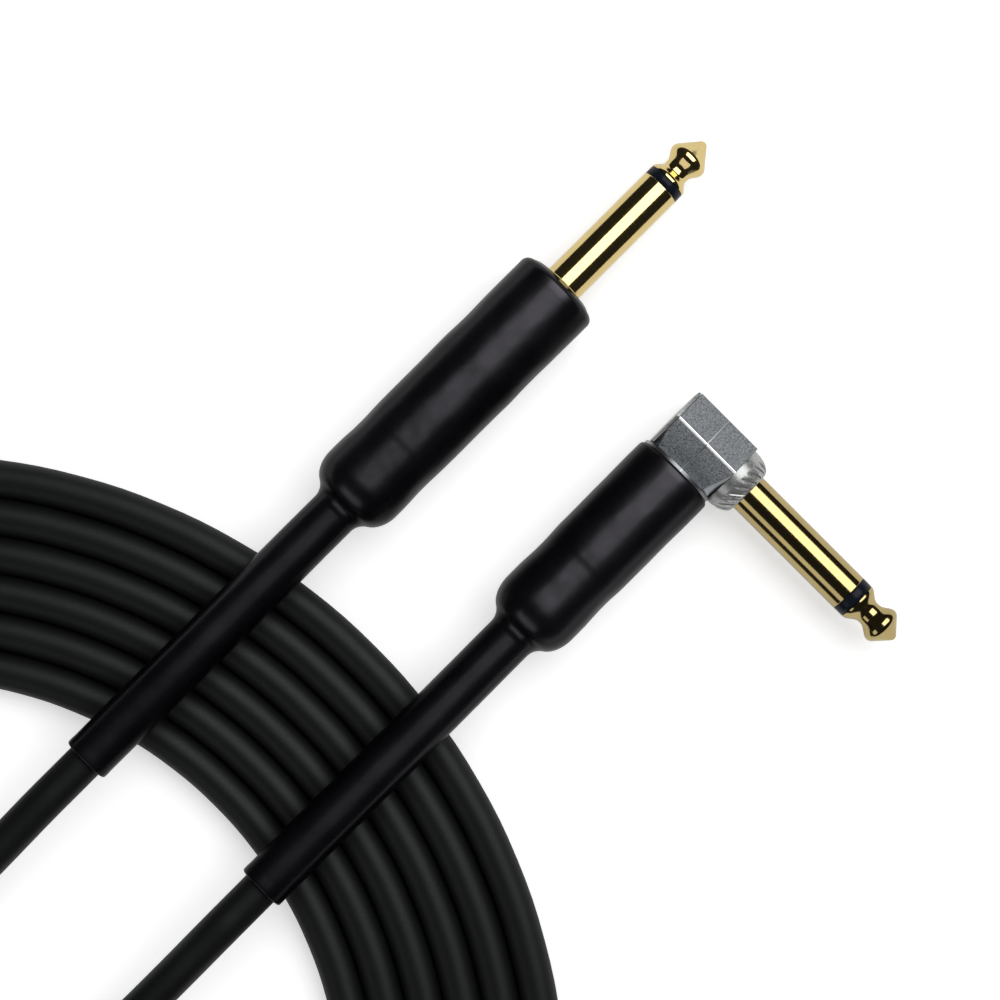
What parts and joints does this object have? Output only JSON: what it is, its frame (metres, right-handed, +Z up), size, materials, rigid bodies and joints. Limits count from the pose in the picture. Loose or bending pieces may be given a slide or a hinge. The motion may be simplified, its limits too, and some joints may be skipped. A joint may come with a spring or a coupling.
{
  "type": "instrument cable",
  "caption": "Coiled instrument cable with a straight and a right-angle gold jack plug, black shrink boots, and a cord wound flat and held by a strap.",
  "frame": {"origin": "on the plane that the cable lies on, under the middle of the box round the two plugs", "axes": "+X runs along the straight plug to its point, -Y along the right-angle plug's finger, +Z up"},
  "size_m": [0.2283, 0.1694, 0.0173],
  "materials": {
    "gold_plate": "polished gold plate on brass",
    "ring_plastic": "glossy black moulded ring",
    "tinned_metal": "tinned brass, satin",
    "hard_paper": "brown hard-paper washer, matt",
    "nickel_plate": "nickel-plated brass, satin",
    "liner_plastic": "clear insulating sleeve, glossy",
    "shrink_boot": "black shrink tubing with a faint sheen",
    "cord_rubber": "matt grey-black rubber jacket",
    "copper": "bright stranded copper",
    "core_plastic": "natural polythene",
    "solder": "bright solder",
    "cast_nickel": "sand-textured satin nickel on a zinc casting",
    "polished_nickel": "polished nickel, fluted",
    "strap_fabric": "black hook-and-loop strap"
  },
  "bodies": {
    "root": {"straight_tip": "gold_plate", "straight_tip_insulator": "ring_plastic", "straight_sleeve": "gold_plate", "straight_ground_clamp": "tinned_metal", "straight_rear_washer": "hard_paper", "straight_tip_lug": "tinned_metal", "straight_barrel": "nickel_plate", "straight_liner": "liner_plastic", "straight_boot": "shrink_boot", "straight_jacket": "cord_rubber", "straight_shield": "copper", "straight_core": "core_plastic", "straight_conductor": "copper", "straight_tip_solder": "solder", "straight_ground_solder": "solder", "angle_tip": "gold_plate", "angle_tip_insulator": "ring_plastic", "angle_sleeve": "gold_plate", "angle_collar": "polished_nickel", "angle_head": "cast_nickel", "angle_back_cap": "cast_nickel", "angle_ground_lug": "tinned_metal", "angle_rear_washer": "hard_paper", "angle_tip_lug": "tinned_metal", "angle_barrel": "nickel_plate", "angle_liner": "liner_plastic", "angle_boot": "shrink_boot", "angle_jacket": "cord_rubber", "angle_shield": "copper", "angle_core": "core_plastic", "angle_conductor": "copper", "angle_tip_solder": "solder", "angle_ground_solder": "solder", "straight_lead": "cord_rubber", "cord_coil": "cord_rubber", "angle_lead": "cord_rubber", "tie_strap": "strap_fabric"}
  },
  "joints": []
}
